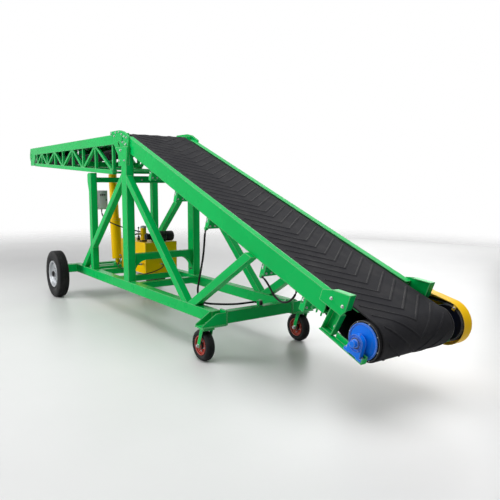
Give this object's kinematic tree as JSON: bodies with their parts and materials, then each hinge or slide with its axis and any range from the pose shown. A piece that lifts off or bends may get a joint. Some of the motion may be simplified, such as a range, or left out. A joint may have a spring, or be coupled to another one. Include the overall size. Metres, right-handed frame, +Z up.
{
  "type": "truck loading conveyor",
  "caption": "Wheeled belt conveyor for loading trucks: fixed chevron-belt incline on a braced green frame, with a lattice boom raised by a hydraulic cylinder, road wheels and swivel castors.",
  "frame": {"origin": "on the floor at the centre of the overall box", "axes": "+X along the machine to the loading end, +Y to the drive side, +Z up"},
  "size_m": [8.7242, 1.787, 2.396],
  "materials": {
    "green_paint": "gloss green enamel",
    "yellow_paint": "gloss yellow enamel",
    "blue_paint": "gloss blue enamel",
    "black_paint": "satin black",
    "red_paint": "satin red",
    "silver_paint": "silver",
    "grey_paint": "light grey powder coat",
    "steel": "turned",
    "belt_rubber": "matt with chevron ridges",
    "tyre_rubber": "matt",
    "hose_rubber": "smooth"
  },
  "bodies": {
    "chassis": {"bend_roller": "steel", "cable_loop": "hose_rubber", "cable_pump": "hose_rubber", "cable_trailer": "hose_rubber", "castor_brackets": "green_paint", "chassis_cross_members": "green_paint", "chassis_rails": "green_paint", "control_box": "grey_paint", "crest_roller": "steel", "cylinder_base": "green_paint", "drive_guard": "yellow_paint", "drive_motor": "grey_paint", "drive_pulleys": "black_paint", "front_beam": "green_paint", "front_braces": "green_paint", "hinge_shaft": "green_paint", "hose_lift": "hose_rubber", "hose_return": "hose_rubber", "hydraulic_tank": "yellow_paint", "incline_belt": "belt_rubber", "incline_cross_ties": "green_paint", "incline_deck": "green_paint", "incline_rails": "green_paint", "incline_struts": "green_paint", "knuckle_plates": "green_paint", "main_portal_beam": "green_paint", "main_posts": "green_paint", "pump_motor": "black_paint", "rear_axle": "green_paint", "rear_braces": "green_paint", "rear_portal_beam": "green_paint", "rear_posts": "green_paint", "return_roller_brackets": "green_paint", "return_rollers": "steel", "tail_bearings": "blue_paint", "tail_brackets": "green_paint", "tail_discs": "blue_paint", "tail_drum": "black_paint", "takeup_bars": "green_paint", "valve_block": "steel"},
    "boom": {"boom_trusses": "green_paint", "boom_cross_ties": "green_paint", "boom_deck": "green_paint", "boom_belt": "belt_rubber", "head_drum": "steel", "head_plates": "green_paint", "nose_guard": "green_paint", "lift_beam": "green_paint"},
    "castor_fork_left": {"castor_fork_left": "green_paint"},
    "castor_wheel_left": {"castor_tyre_left": "tyre_rubber", "castor_rim_left": "red_paint"},
    "road_wheel_left": {"road_tyre_left": "tyre_rubber", "road_rim_left": "silver_paint"},
    "castor_fork_right": {"castor_fork_right": "green_paint"},
    "castor_wheel_right": {"castor_tyre_right": "tyre_rubber", "castor_rim_right": "red_paint"},
    "road_wheel_right": {"road_tyre_right": "tyre_rubber", "road_rim_right": "silver_paint"},
    "lift_barrel": {"lift_barrel": "yellow_paint"},
    "lift_rod": {"lift_rod": "yellow_paint"}
  },
  "joints": [
    {"name": "boom_lift", "type": "hinge", "parent": "chassis", "child": "boom", "pos_m": [0.103, 0, 2.276], "axis": [0, 1, 0], "range_deg": [0, 12]},
    {"name": "barrel_tilt", "type": "hinge", "parent": "chassis", "child": "lift_barrel", "pos_m": [-1.32, 0, 0.47], "axis": [0, 1, 0], "range_deg": [-0.732, 0]},
    {"name": "rod_stroke", "type": "slide", "parent": "lift_barrel", "child": "lift_rod", "axis": [-0.0875, 0, 0.9962], "range_m": [0, 0.3345]},
    {"name": "castor_swivel_left", "type": "hinge", "parent": "chassis", "child": "castor_fork_left", "pos_m": [2.323, -0.614, 0.34], "axis": [0, 0, 1], "continuous": true},
    {"name": "castor_roll_left", "type": "hinge", "parent": "castor_fork_left", "child": "castor_wheel_left", "pos_m": [2.258, -0.614, 0.157], "axis": [0, 1, 0], "continuous": true},
    {"name": "road_roll_left", "type": "hinge", "parent": "chassis", "child": "road_wheel_left", "pos_m": [-1.713, -0.811, 0.3515], "axis": [0, 1, 0], "continuous": true},
    {"name": "castor_swivel_right", "type": "hinge", "parent": "chassis", "child": "castor_fork_right", "pos_m": [2.323, 0.614, 0.34], "axis": [0, 0, 1], "continuous": true},
    {"name": "castor_roll_right", "type": "hinge", "parent": "castor_fork_right", "child": "castor_wheel_right", "pos_m": [2.258, 0.614, 0.157], "axis": [0, 1, 0], "continuous": true},
    {"name": "road_roll_right", "type": "hinge", "parent": "chassis", "child": "road_wheel_right", "pos_m": [-1.713, 0.811, 0.3515], "axis": [0, 1, 0], "continuous": true}
  ],
  "couplings": [
    {"joint": "barrel_tilt", "follows": "boom_lift", "ratio": -0.0568},
    {"joint": "rod_stroke", "follows": "boom_lift", "m_per_rad": 1.5875}
  ]
}
